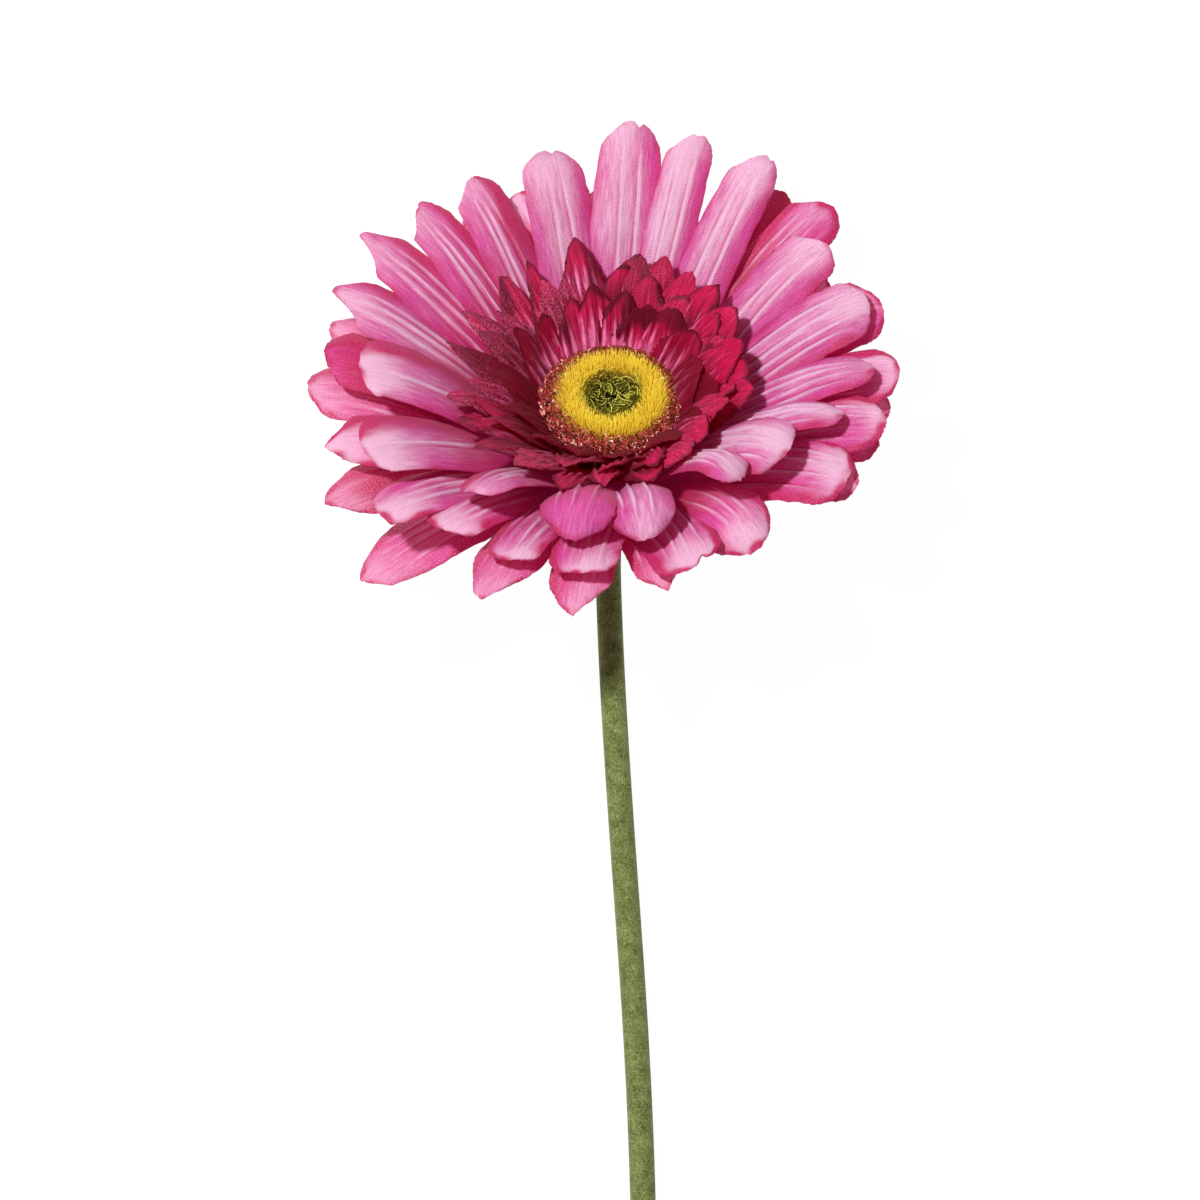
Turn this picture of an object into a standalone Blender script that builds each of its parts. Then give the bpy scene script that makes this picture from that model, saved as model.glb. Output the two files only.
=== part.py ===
"""A long-stemmed artificial gerbera, lying on a flat surface with its head bent up.

Units in the constants are millimetres and degrees. The part's frame is +Z up with z = 0 at
the surface, +Y from the stem's cut end towards the head, and the origin under the middle of
the whole flower. The head is modelled about its own axis, +Z out of its face, and is then
tilted and lifted into place by an empty.
"""

import math

import bmesh
import bpy
from mathutils import Vector

MM = 0.001

# The head's place: the middle of the disc's top, and its lean from upright towards +Y.
HEAD_CENTRE = (1.5, 174.5, 31.0)
HEAD_TILT = 38.0

# Cloth rays. Each row is azimuth, reach and rise of the tip from the head's centre, width.
CLOTH = 0.4
PETAL_ROOT_RADIUS = 6.5
PETAL_LOUVRE = 11.5
PETAL_CUP = 0.7
PETAL_STATIONS = (0.0, 0.22, 0.42, 0.6, 0.76, 0.91, 1.0)
PETAL_OUTLINE = (0.09, 0.24, 0.55, 0.88, 1.0, 0.8, 0.36)
PETAL_COLUMNS = (-1.0, -0.36, 0.36, 1.0)

UPPER_ROOT_Z = -12.2
UPPER_PETALS = (
    (86.0, 54.5, 19.2, 13.0),
    (72.0, 54.5, 19.0, 10.5),
    (57.5, 56.0, 19.0, 11.0),
    (33.0, 53.0, 16.0, 11.5),
    (15.0, 53.0, 14.0, 11.5),
    (-1.0, 52.5, 12.0, 10.5),
    (-15.5, 49.0, 12.0, 9.5),
    (-32.0, 45.0, 13.5, 12.0),
    (-50.0, 42.0, 12.0, 10.0),
    (-82.0, 47.0, 13.5, 12.5),
    (-99.5, 47.0, 13.5, 13.0),
    (-131.0, 45.0, 14.0, 11.5),
    (-157.0, 55.0, 12.0, 12.0),
    (-177.0, 50.5, 15.5, 12.5),
    (163.0, 57.5, 16.0, 11.5),
    (149.0, 58.0, 16.0, 11.5),
    (137.0, 53.5, 17.0, 10.5),
    (123.5, 51.0, 18.0, 10.5),
    (104.0, 50.0, 17.5, 12.0),
)

MIDDLE_ROOT_Z = -13.5
MIDDLE_PETALS = (
    (112.0, 47.0, 10.0, 11.0),
    (80.0, 52.5, 10.0, 11.0),
    (54.0, 57.0, 8.5, 10.0),
    (43.0, 61.0, 11.5, 11.0),
    (30.0, 50.0, 8.5, 10.0),
    (16.5, 57.0, 8.5, 12.0),
    (1.0, 58.0, 8.0, 11.5),
    (-13.0, 56.5, 8.0, 12.0),
    (-28.0, 54.0, 8.0, 13.0),
    (-61.0, 51.0, 7.5, 14.5),
    (-76.0, 49.0, 7.5, 13.0),
    (-102.0, 49.0, 6.5, 12.5),
    (-117.5, 50.0, 6.0, 9.5),
    (-134.0, 50.0, 4.5, 12.0),
    (-148.5, 56.0, 7.5, 11.0),
    (-163.0, 59.5, 8.0, 11.5),
    (175.0, 58.0, 9.5, 12.0),
)

LOWER_ROOT_Z = -14.8
LOWER_PETALS = (
    (118.0, 58.0, 2.3, 11.0),
    (92.0, 53.0, 3.0, 11.0),
    (62.0, 58.0, 1.5, 11.0),
    (-2.5, 56.0, 2.0, 10.0),
    (-14.5, 55.0, 2.5, 10.5),
    (-25.5, 55.0, 2.5, 11.5),
    (-79.0, 50.5, 1.5, 13.0),
    (-99.0, 55.5, 1.0, 12.0),
    (-116.5, 57.0, 1.0, 12.0),
    (-142.5, 62.0, -11.0, 13.5),
    (-155.0, 63.0, -1.0, 11.5),
    (179.0, 61.0, 3.0, 12.5),
    (165.0, 59.0, 3.0, 11.0),
)

# Toothed frills between the rays and the disc: root height, tip radius, tip height, how late
# the bowl turns up, teeth.
FRILL_HOLE_RADIUS = 3.0
FRILL_ROOT_RADIUS = 7.0
FRILL_NOTCH = 0.8
FRILL_LEAN = 2.0
FRILLS = {
    "frill_outer": (-10.2, 31.5, 10.5, 1.45, 20),
    "frill_middle": (-9.1, 27.5, 10.0, 1.6, 18),
    "frill_inner": (-8.0, 23.5, 8.5, 1.9, 16),
}

# The moulded disc and what is stuck on it, as half sections (radius, height).
POST_RADIUS = 2.2
POST_FOOT_Z = -15.0
DISC_SECTION = (
    (0.0, -2.6), (14.3, -2.6), (14.3, -3.0), (11.5, -5.1), (8.0, -6.4), (5.0, -6.8),
    (POST_RADIUS, -7.0), (POST_RADIUS, POST_FOOT_Z), (0.0, POST_FOOT_Z),
)
BRISTLE_SECTION = ((5.9, -2.3), (6.0, 0.2), (7.4, 1.3), (9.6, 1.1), (11.2, 0.0), (11.4, -2.3))
CRUMB_SECTION = ((11.8, -2.3), (11.9, -0.6), (13.3, -0.2), (14.7, -0.8), (14.8, -2.3))
TUFT_SECTION = ((0.0, -0.8), (2.6, -0.7), (4.8, -0.9), (5.4, -1.5), (5.5, -2.3), (0.0, -2.3))

# The cup under the head, the stem's cover and the wire inside it.
CUP_SECTION = (
    (1.35, -16.2), (8.0, -15.6), (9.6, -15.3), (9.2, -16.6), (6.6, -18.8), (4.4, -20.8),
    (3.5, -23.0), (1.35, -23.0),
)
STEM_TOP_Z = -23.3
STEM_RADIUS = 2.7
STEM_BORE_RADIUS = 1.3
STEM_SIDES = 12
WIRE_RADIUS = 0.95
WIRE_TOP_Z = -16.4
WIRE_SIDES = 8
CUT_END_Y = -230.0
# The stem's sideways wander: how far it has moved in X at each Y.
STEM_WANDER = (
    (139.0, 0.7), (115.0, 1.7), (82.0, 3.9), (45.0, 6.5), (10.0, 7.9),
    (-50.0, 8.3), (-120.0, 6.6), (-180.0, 4.4), (CUT_END_Y, 2.6),
)

TURNED_STEPS = 24
FRILL_STEPS_PER_TOOTH = 2

MATERIALS = {
    "ray_cloth": ((0.66, 0.16, 0.38, 1.0), 0.55, 0.0),
    "frill_cloth": ((0.30, 0.01, 0.06, 1.0), 0.7, 0.0),
    "yellow_bristle": ((0.66, 0.42, 0.03, 1.0), 0.8, 0.0),
    "green_fibre": ((0.11, 0.10, 0.02, 1.0), 0.85, 0.0),
    "red_crumb": ((0.36, 0.06, 0.06, 1.0), 0.9, 0.0),
    "disc_plastic": ((0.30, 0.36, 0.10, 1.0), 0.6, 0.0),
    "flocked_green": ((0.19, 0.23, 0.09, 1.0), 0.9, 0.0),
    "wire_steel": ((0.50, 0.50, 0.50, 1.0), 0.35, 1.0),
}


def clear_scene():
    for old in list(bpy.data.objects):
        bpy.data.objects.remove(old, do_unlink=True)


def make_materials():
    made = {}
    for name, (colour, roughness, metallic) in MATERIALS.items():
        material = bpy.data.materials.new(name)
        material.use_nodes = True
        shader = material.node_tree.nodes["Principled BSDF"]
        shader.inputs["Base Color"].default_value = colour
        shader.inputs["Roughness"].default_value = roughness
        shader.inputs["Metallic"].default_value = metallic
        made[name] = material
    return made


def add_object(name, bm, material, parent=None):
    """Turns a bmesh in metres into a named, smooth-shaded object."""
    bmesh.ops.recalc_face_normals(bm, faces=bm.faces)
    mesh = bpy.data.meshes.new(name)
    bm.to_mesh(mesh)
    bm.free()
    mesh.shade_smooth()
    mesh.materials.append(material)
    piece = bpy.data.objects.new(name, mesh)
    piece.parent = parent
    bpy.context.scene.collection.objects.link(piece)
    return piece


def thicken(piece, thickness):
    solidify = piece.modifiers.new("cloth thickness", "SOLIDIFY")
    solidify.thickness = thickness
    solidify.offset = 0.0


def smooth_blend(t):
    """A climb from 0 to 1 that starts and ends gently, mixed with a straight one."""
    return 0.2 * t + 0.8 * t * t * (3.0 - 2.0 * t)


def add_petal(name, row, root_z, material, head):
    azimuth, reach, rise, width = row
    bm = bmesh.new()
    lines = []
    for station, share in zip(PETAL_STATIONS, PETAL_OUTLINE):
        radius = PETAL_ROOT_RADIUS + (reach - PETAL_ROOT_RADIUS) * station
        height = root_z + (rise - root_z) * smooth_blend(station)
        half_width = width / 2.0 * share
        line = []
        for column in PETAL_COLUMNS:
            across = column * half_width
            lift = across * math.tan(math.radians(PETAL_LOUVRE)) - PETAL_CUP * share * column**2
            line.append(bm.verts.new(Vector((radius, across, height + lift)) * MM))
        lines.append(line)
    for inner, outer in zip(lines, lines[1:]):
        for left in range(len(PETAL_COLUMNS) - 1):
            bm.faces.new((inner[left], outer[left], outer[left + 1], inner[left + 1]))
    petal = add_object(name, bm, material, head)
    petal.rotation_euler.z = math.radians(azimuth)
    thicken(petal, CLOTH * MM)


def add_frill(name, sizes, material, head):
    """A bowl of cloth with a hole in the middle and a sawtooth edge, leaning to one side."""
    root_z, tip_radius, tip_z, curve, teeth = sizes
    steps = teeth * FRILL_STEPS_PER_TOOTH
    bm = bmesh.new()
    rings = []
    for radius_share in (0.0, 0.25, 0.5, 0.75, 1.0):
        ring = []
        for step in range(steps):
            angle = math.tau * step / steps
            edge = tip_radius - FRILL_LEAN * math.cos(angle)
            if step % FRILL_STEPS_PER_TOOTH:
                edge = FRILL_ROOT_RADIUS + (edge - FRILL_ROOT_RADIUS) * FRILL_NOTCH
            radius = FRILL_ROOT_RADIUS + (edge - FRILL_ROOT_RADIUS) * radius_share
            climb = (radius - FRILL_ROOT_RADIUS) / (tip_radius - FRILL_ROOT_RADIUS)
            height = root_z + (tip_z - root_z) * climb**curve
            spot = Vector((radius * math.cos(angle), radius * math.sin(angle), height))
            ring.append(bm.verts.new(spot * MM))
        rings.append(ring)
    hole = []
    for step in range(steps):
        angle = math.tau * step / steps
        spot = Vector((FRILL_HOLE_RADIUS * math.cos(angle), FRILL_HOLE_RADIUS * math.sin(angle), root_z))
        hole.append(bm.verts.new(spot * MM))
    rings.insert(0, hole)
    for inner, outer in zip(rings, rings[1:]):
        for step in range(steps):
            after = (step + 1) % steps
            bm.faces.new((inner[step], outer[step], outer[after], inner[after]))
    frill = add_object(name, bm, material, head)
    thicken(frill, CLOTH * MM)


def add_turned(name, section, material, head):
    """Spins a half section about the head's axis. A section that leaves the axis is closed."""
    bm = bmesh.new()
    points = [bm.verts.new(Vector((radius, 0.0, height)) * MM) for radius, height in section]
    edges = [bm.edges.new(pair) for pair in zip(points, points[1:])]
    if section[0][0] > 0.0:
        edges.append(bm.edges.new((points[-1], points[0])))
    bmesh.ops.spin(
        bm, geom=points + edges, cent=(0.0, 0.0, 0.0), axis=(0.0, 0.0, 1.0),
        angle=math.tau, steps=TURNED_STEPS, use_merge=True,
    )
    bmesh.ops.remove_doubles(bm, verts=bm.verts, dist=1e-6)
    piece = add_object(name, bm, material, head)
    piece.data.set_sharp_from_angle(angle=math.radians(40.0))


def wander(y):
    """X of the stem's centre line at y, smoothly between the rows of STEM_WANDER."""
    rows = STEM_WANDER
    if y >= rows[0][0]:
        return rows[0][1]
    for index in range(len(rows) - 1):
        (y_here, x_here), (y_next, x_next) = rows[index], rows[index + 1]
        if y >= y_next:
            before = rows[max(index - 1, 0)]
            after = rows[min(index + 2, len(rows) - 1)]
            slope_here = (x_next - before[1]) / (y_next - before[0])
            slope_next = (after[1] - x_here) / (after[0] - y_here)
            span = y_next - y_here
            t = (y - y_here) / span
            return (
                (2 * t**3 - 3 * t**2 + 1) * x_here
                + (t**3 - 2 * t**2 + t) * span * slope_here
                + (-2 * t**3 + 3 * t**2) * x_next
                + (t**3 - t**2) * span * slope_next
            )
    return rows[-1][1]


def stem_route(start_z):
    """The centre line from start_z on the head's axis, round the bend and along the surface."""
    tilt = math.radians(HEAD_TILT)
    axis = Vector((0.0, math.sin(tilt), math.cos(tilt)))
    centre = Vector(HEAD_CENTRE)
    bend_start = centre + axis * STEM_TOP_Z
    bend_turn = math.radians(90.0 - HEAD_TILT)
    bend_radius = (bend_start.z - STEM_RADIUS) / (1.0 - math.cos(bend_turn))
    points = []
    if start_z > STEM_TOP_Z:
        points.append(centre + axis * start_z)
    bend_steps = 8
    for step in range(bend_steps + 1):
        turned = bend_turn * step / bend_steps
        forward = bend_radius * (math.sin(bend_turn) - math.sin(bend_turn - turned))
        down = bend_radius * (math.cos(bend_turn - turned) - math.cos(bend_turn))
        points.append(bend_start + Vector((0.0, -forward, -down)))
    y_flat = points[-1].y
    straight_steps = 18
    for step in range(1, straight_steps + 1):
        y = y_flat + (CUT_END_Y - y_flat) * step / straight_steps
        points.append(Vector((0.0, y, STEM_RADIUS)))
    top = points[0].y
    for point in points:
        along = min(1.0, (top - point.y) / (top - y_flat))
        point.x = HEAD_CENTRE[0] + (wander(point.y) - HEAD_CENTRE[0]) * smooth_blend(along)
    return points


def ring_around(bm, points, index, radius, sides):
    """A ring of vertices square to the route at one of its points."""
    before = points[max(index - 1, 0)]
    after = points[min(index + 1, len(points) - 1)]
    along = (after - before).normalized()
    across = Vector((1.0, 0.0, 0.0))
    across = (across - along * across.dot(along)).normalized()
    upward = along.cross(across)
    ring = []
    for side in range(sides):
        angle = math.tau * side / sides
        spot = points[index] + (across * math.cos(angle) + upward * math.sin(angle)) * radius
        ring.append(bm.verts.new(spot * MM))
    return ring


def bridge_rings(bm, first, second):
    for side in range(len(first)):
        after = (side + 1) % len(first)
        bm.faces.new((first[side], first[after], second[after], second[side]))


def add_stem(materials):
    bm = bmesh.new()
    route = stem_route(STEM_TOP_Z)
    skins = []
    for radius in (STEM_RADIUS, STEM_BORE_RADIUS):
        rings = [ring_around(bm, route, i, radius, STEM_SIDES) for i in range(len(route))]
        for first, second in zip(rings, rings[1:]):
            bridge_rings(bm, first, second)
        skins.append(rings)
    outside, inside = skins
    bridge_rings(bm, outside[0], inside[0])
    bridge_rings(bm, outside[-1], inside[-1])
    sheath = add_object("stem_sheath", bm, materials["flocked_green"])
    sheath.data.set_sharp_from_angle(angle=math.radians(50.0))

    bm = bmesh.new()
    route = stem_route(WIRE_TOP_Z)
    rings = [ring_around(bm, route, i, WIRE_RADIUS, WIRE_SIDES) for i in range(len(route))]
    for first, second in zip(rings, rings[1:]):
        bridge_rings(bm, first, second)
    bm.faces.new(rings[0])
    bm.faces.new(rings[-1])
    wire = add_object("stem_wire", bm, materials["wire_steel"])
    wire.data.set_sharp_from_angle(angle=math.radians(50.0))


def add_head_frame():
    head = bpy.data.objects.new("head_frame", None)
    head.location = Vector(HEAD_CENTRE) * MM
    head.rotation_euler.x = -math.radians(HEAD_TILT)
    bpy.context.scene.collection.objects.link(head)
    return head


def main():
    clear_scene()
    materials = make_materials()
    head = add_head_frame()
    layers = (
        ("upper_petal", UPPER_PETALS, UPPER_ROOT_Z),
        ("middle_petal", MIDDLE_PETALS, MIDDLE_ROOT_Z),
        ("lower_petal", LOWER_PETALS, LOWER_ROOT_Z),
    )
    for layer_name, rows, root_z in layers:
        for number, row in enumerate(rows, 1):
            add_petal(f"{layer_name}_{number:02d}", row, root_z, materials["ray_cloth"], head)
    for name, sizes in FRILLS.items():
        add_frill(name, sizes, materials["frill_cloth"], head)
    add_turned("disc_base", DISC_SECTION, materials["disc_plastic"], head)
    add_turned("bristle_ring", BRISTLE_SECTION, materials["yellow_bristle"], head)
    add_turned("crumb_ring", CRUMB_SECTION, materials["red_crumb"], head)
    add_turned("centre_tuft", TUFT_SECTION, materials["green_fibre"], head)
    add_turned("calyx_cup", CUP_SECTION, materials["flocked_green"], head)
    add_stem(materials)


main()
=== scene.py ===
"""Looks of a long-stemmed artificial gerbera: pressed cloth rays, sawtooth frills, a bristle disc and a
flocked stem. Shapes are worked out in millimetres about the head's own axis and then put in place."""

import math
import random

import bmesh
import bpy
import numpy as np
from mathutils import Matrix, Vector, noise


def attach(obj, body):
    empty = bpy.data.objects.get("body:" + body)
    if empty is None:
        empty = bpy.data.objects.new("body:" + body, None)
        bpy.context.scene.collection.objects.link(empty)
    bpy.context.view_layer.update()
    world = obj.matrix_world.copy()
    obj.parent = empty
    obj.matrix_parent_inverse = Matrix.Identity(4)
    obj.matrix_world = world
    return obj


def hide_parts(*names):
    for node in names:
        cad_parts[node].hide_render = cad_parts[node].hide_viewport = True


MM = 0.001
SEED = 11

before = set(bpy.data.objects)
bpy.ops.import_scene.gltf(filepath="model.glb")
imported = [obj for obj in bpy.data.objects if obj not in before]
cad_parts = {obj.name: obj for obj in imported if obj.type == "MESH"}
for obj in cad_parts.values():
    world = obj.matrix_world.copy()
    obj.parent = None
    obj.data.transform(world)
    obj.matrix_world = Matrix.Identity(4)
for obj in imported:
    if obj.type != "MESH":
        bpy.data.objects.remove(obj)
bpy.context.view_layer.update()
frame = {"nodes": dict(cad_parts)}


# ---------------------------------------------------------------------------------------------
# The head's own frame, read from the turned pieces, whose middles lie on the head's axis
# ---------------------------------------------------------------------------------------------

def node_points(name):
    """The distinct vertices of a CAD node, in metres."""
    mesh = frame["nodes"][name].data
    points = np.empty(len(mesh.vertices) * 3)
    mesh.vertices.foreach_get("co", points)
    return np.unique(points.reshape(-1, 3).round(6), axis=0)


# Height of the disc base's top in the head's own frame.
DISC_TOP_Z = -2.6


def head_frame():
    """A matrix from head millimetres (face up +Z, disc base's top at DISC_TOP_Z) to metres."""
    disc = node_points("bristle_ring").mean(axis=0)
    cup = node_points("calyx_cup").mean(axis=0)
    axis = Vector(disc - cup).normalized()
    side = Vector((1.0, 0.0, 0.0))
    back = axis.cross(side).normalized()
    turn = Matrix((side, back, axis)).transposed()
    heights = (node_points("disc_base") - disc) @ np.array(axis)
    origin = Vector(disc) + axis * (float(heights.max()) - DISC_TOP_Z * MM)
    return Matrix.Translation(origin) @ turn.to_4x4() @ Matrix.Scale(MM, 4)


HEAD = head_frame()
HEAD_INVERSE = HEAD.inverted()


def to_head(points):
    """Metres to head millimetres, for an array of points."""
    rows = np.array(HEAD_INVERSE)
    return points @ rows[:3, :3].T + rows[:3, 3]


def from_head(points):
    """Head millimetres to metres."""
    rows = np.array(HEAD)
    return points @ rows[:3, :3].T + rows[:3, 3]


# ---------------------------------------------------------------------------------------------
# Objects and meshes
# ---------------------------------------------------------------------------------------------

def place_object(name, data):
    """A new object in the scene, at the origin and unturned."""
    made = bpy.data.objects.new(name, data)
    bpy.context.scene.collection.objects.link(made)
    return made


def mesh_from(bm, name):
    """Ends an edit mesh and gives it back as a plain mesh."""
    mesh = bpy.data.meshes.new(name)
    bm.to_mesh(mesh)
    bm.free()
    return mesh


def set_material(mesh, material):
    mesh.materials.clear()
    mesh.materials.append(material)


def claim(piece, slot, *nodes):
    """The piece rides on the root and stands for the CAD nodes, which are hidden. The slot is not used."""
    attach(piece, "root")
    if nodes:
        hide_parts(*nodes)


# ---------------------------------------------------------------------------------------------
# Node trees
# ---------------------------------------------------------------------------------------------

class Wire:
    """An output socket with arithmetic that adds Math nodes to its tree."""

    def __init__(self, graph, socket):
        self.graph = graph
        self.socket = socket

    def _math(self, operation, *values):
        node = self.graph.node("ShaderNodeMath", {"operation": operation}, dict(enumerate(values)))
        return Wire(self.graph, node.outputs[0])

    def __add__(self, other):
        return self._math("ADD", self, other)

    def __sub__(self, other):
        return self._math("SUBTRACT", self, other)

    def __rsub__(self, other):
        return self._math("SUBTRACT", other, self)

    def __mul__(self, other):
        return self._math("MULTIPLY", self, other)

    def __pow__(self, other):
        return self._math("POWER", self, other)

    __radd__ = __add__
    __rmul__ = __mul__

    def sine(self):
        return self._math("SINE", self)

    def length_with(self, other):
        return (self * self + other * other) ** 0.5

    def step(self, low, high):
        """0 below low, 1 above high, smooth between. low may be the larger."""
        node = self.graph.node(
            "ShaderNodeMapRange", {"interpolation_type": "SMOOTHSTEP"},
            {"Value": self, "From Min": low, "From Max": high},
        )
        return Wire(self.graph, node.outputs["Result"])


class Graph:
    """A node tree in the making, for a material or for Geometry Nodes."""

    def __init__(self, tree):
        self.tree = tree
        self.tree.nodes.clear()

    def node(self, kind, settings=None, inputs=None):
        """A node of any kind. Its settings come first, as they change which sockets it has."""
        made = self.tree.nodes.new(kind)
        for key, value in (settings or {}).items():
            setattr(made, key, value)
        for key, value in (inputs or {}).items():
            socket = made.inputs[key]
            if isinstance(value, Wire):
                self.tree.links.new(value.socket, socket)
            elif isinstance(value, bpy.types.NodeSocket):
                self.tree.links.new(value, socket)
            else:
                socket.default_value = value
        return made

    def wire(self, kind, output=0, settings=None, inputs=None):
        return Wire(self, self.node(kind, settings, inputs).outputs[output])

    def mix(self, first, second, share):
        """A blend of two colours; share 0 gives the first."""
        return self.wire("ShaderNodeMix", 2, {"data_type": "RGBA"}, {0: share, 6: first, 7: second})

    def multiply(self, first, second, share=1.0):
        settings = {"data_type": "RGBA", "blend_type": "MULTIPLY"}
        return self.wire("ShaderNodeMix", 2, settings, {0: share, 6: first, 7: second})

    def grey(self, value):
        """A number as a grey colour."""
        return self.wire("ShaderNodeCombineColor", 0, None, {0: value, 1: value, 2: value})

    def parts(self, vector):
        node = self.node("ShaderNodeSeparateXYZ", None, {0: vector})
        return [Wire(self, socket) for socket in node.outputs]

    def noise(self, vector, scale, detail=2.0, roughness=0.5):
        inputs = {"Vector": vector, "Scale": scale, "Detail": detail, "Roughness": roughness}
        return self.wire("ShaderNodeTexNoise", 0, None, inputs)

    def attribute(self, name, output):
        node = self.node("ShaderNodeAttribute", {"attribute_name": name})
        return Wire(self, node.outputs[output])

    def principled(self, inputs):
        return self.node("ShaderNodeBsdfPrincipled", None, inputs)

    def blend_shaders(self, first, second, share):
        return self.node("ShaderNodeMixShader", None, {0: share, 1: first.outputs[0], 2: second.outputs[0]})


def colour(red, green, blue):
    """A linear colour from the 0 to 255 values that a paint chart gives."""
    def linear(value):
        share = value / 255.0
        return share / 12.92 if share <= 0.04045 else ((share + 0.055) / 1.055) ** 2.4
    return (linear(red), linear(green), linear(blue), 1.0)


def new_material(name):
    material = bpy.data.materials.new(name)
    material.use_nodes = True
    return material, Graph(material.node_tree)


def finish_material(graph, shader):
    graph.node("ShaderNodeOutputMaterial", None, {"Surface": shader.outputs[0]})


def bump(graph, height, distance):
    return graph.wire("ShaderNodeBump", 0, None, {"Height": height, "Distance": distance})


def object_coordinates(graph):
    return graph.wire("ShaderNodeTexCoord", "Object")


def head_coordinates(graph):
    """Object coordinates turned into head millimetres."""
    place, turn, _ = HEAD.decompose()
    inputs = {"Vector": object_coordinates(graph), "Location": place, "Rotation": turn.to_euler()}
    inputs["Scale"] = (MM, MM, MM)
    return graph.wire("ShaderNodeMapping", 0, {"vector_type": "TEXTURE"}, inputs)


# ---------------------------------------------------------------------------------------------
# Finishes
# ---------------------------------------------------------------------------------------------

# Sizes on the flat cloth: streaks, blotches, specks and mottle in waves to a millimetre, then the
# spacing of the threads and the depth of the weave in millimetres.
STREAKS_ACROSS = 2.2
STREAKS_ALONG = 0.22
BLOTCH_SCALE = 0.16
SPECK_SCALE = 3.6
MOTTLE_SCALE = 2.2
WARP_PITCH = 0.34
WEFT_PITCH = 0.42
SATIN_SLANT = 4.0
WEAVE_DEPTH = 0.03


def cloth_material(name, tints, roughness, thinness):
    """Dyed satin with painted light. The blade's colour attribute holds shares of deep edge colour with
    painted groove shade, of pale dye with painted sheen, of root dye with painted shade, and of chalk.
    """
    material, graph = new_material(name)
    dye_and_painted_light = graph.node("ShaderNodeAttribute", {"attribute_name": "dye_and_painted_light"})
    shares = graph.node("ShaderNodeSeparateColor", None, {0: dye_and_painted_light.outputs["Color"]})
    edge, pale_and_painted_sheen, root_dye_and_shade = (Wire(graph, socket) for socket in list(shares.outputs)[:3])
    chalk = Wire(graph, dye_and_painted_light.outputs["Alpha"])
    cloth = graph.wire("ShaderNodeUVMap", 0, {"uv_map": "cloth_mm"})
    across, along, _ = graph.parts(cloth)

    inputs = {0: across * STREAKS_ACROSS, 1: along * STREAKS_ALONG, 2: 0.0}
    stretched = graph.wire("ShaderNodeCombineXYZ", 0, None, inputs)
    streaks = graph.noise(stretched, 1.0, 3.0, 0.6)
    blotches = graph.noise(cloth, BLOTCH_SCALE, 2.0, 0.5)
    specks = graph.noise(cloth, SPECK_SCALE, 1.0, 0.6)
    mottle = graph.noise(cloth, MOTTLE_SCALE, 2.0, 0.7)
    ragged = (streaks - 0.5) * 0.5
    clouds = (blotches - 0.5) * 0.5

    # Over the body colour, in turn: root dye with painted shade, pale dye with painted sheen, the deep edge
    # colour with painted shade in the grooves, the deepest root colour for root dye and painted shade, then
    # chalk.
    body = graph.mix(tints["body"], tints["root_blush_and_shade"], (root_dye_and_shade + clouds * 0.4).step(0.02, 0.5))
    body = graph.mix(body, tints["pale_and_painted_sheen"], (pale_and_painted_sheen + ragged * 1.3 + clouds * 0.5).step(0.0, 0.9))
    body = graph.mix(body, tints["edge"], (edge + ragged * 0.7 + clouds).step(0.1, 0.7))
    body = graph.mix(body, tints["root"], (root_dye_and_shade + ragged * 0.8 + clouds * 0.4).step(0.42, 1.0))
    body = graph.mix(body, tints["chalk"], (specks * 0.5 + mottle * 0.5).step(0.44, 0.56) * chalk)
    grain = 1.0 + (specks - 0.5) * 0.7 + (streaks - 0.5) * tints["streak"]
    base = graph.multiply(body, graph.grey(grain))

    warp = (across * (math.tau / WARP_PITCH)).sine()
    weft = (along * (math.tau / WEFT_PITCH) + across * SATIN_SLANT).sine()
    weave = warp * 0.5 + weft * 0.5 + specks * 2.0 + streaks * 3.5
    relief = bump(graph, weave, WEAVE_DEPTH * MM)
    # The cloth glows faintly in its glow tint: a painted light that lifts its shadows.
    front = graph.principled({
        "Base Color": base, "Roughness": roughness, "Normal": relief,
        "Specular IOR Level": tints["gloss"],
        "Sheen Weight": tints["gloss"] * 0.25, "Sheen Roughness": 0.5, "Sheen Tint": tints["sheen"],
        "Emission Color": tints["glow"], "Emission Strength": tints["painted_glow"],
    })
    through = graph.node("ShaderNodeBsdfTranslucent", None, {"Color": tints["glow"], "Normal": relief})
    finish_material(graph, graph.blend_shaders(front, through, thinness))
    return material


# Each cloth's colours: its dyes, the pale one also painted sheen, the edge one also painted groove shade
# and the root ones also painted shade, then the tint of its sheen and of the light that passes through it,
# which also tints its painted glow. gloss is its shine, the glow strength how strongly it glows though it
# is no lamp, a painted light that lifts its shadows, streak how much its threads differ.
RAY_TINTS = {
    "body": colour(210, 60, 160),
    "root_blush_and_shade": colour(200, 18, 116),
    "edge": colour(190, 0, 96),
    "pale_and_painted_sheen": colour(238, 204, 236),
    "root": colour(178, 0, 76),
    "chalk": colour(248, 186, 214),
    "sheen": (1.0, 0.86, 0.94, 1.0),
    "glow": (1.0, 0.03, 0.3, 1.0),
    "gloss": 0.5,
    "painted_glow": 0.042,
    "streak": 0.5,
}
FRILL_TINTS = {
    "body": colour(194, 6, 80),
    "root_blush_and_shade": colour(146, 0, 52),
    "edge": colour(86, 8, 40),
    "pale_and_painted_sheen": colour(250, 140, 200),
    "root": colour(100, 0, 30),
    "chalk": colour(222, 104, 150),
    "sheen": (1.0, 0.5, 0.65, 1.0),
    "glow": (1.0, 0.0, 0.03, 1.0),
    "gloss": 0.2,
    "painted_glow": 0.035,
    "streak": 2.2,
}


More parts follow.
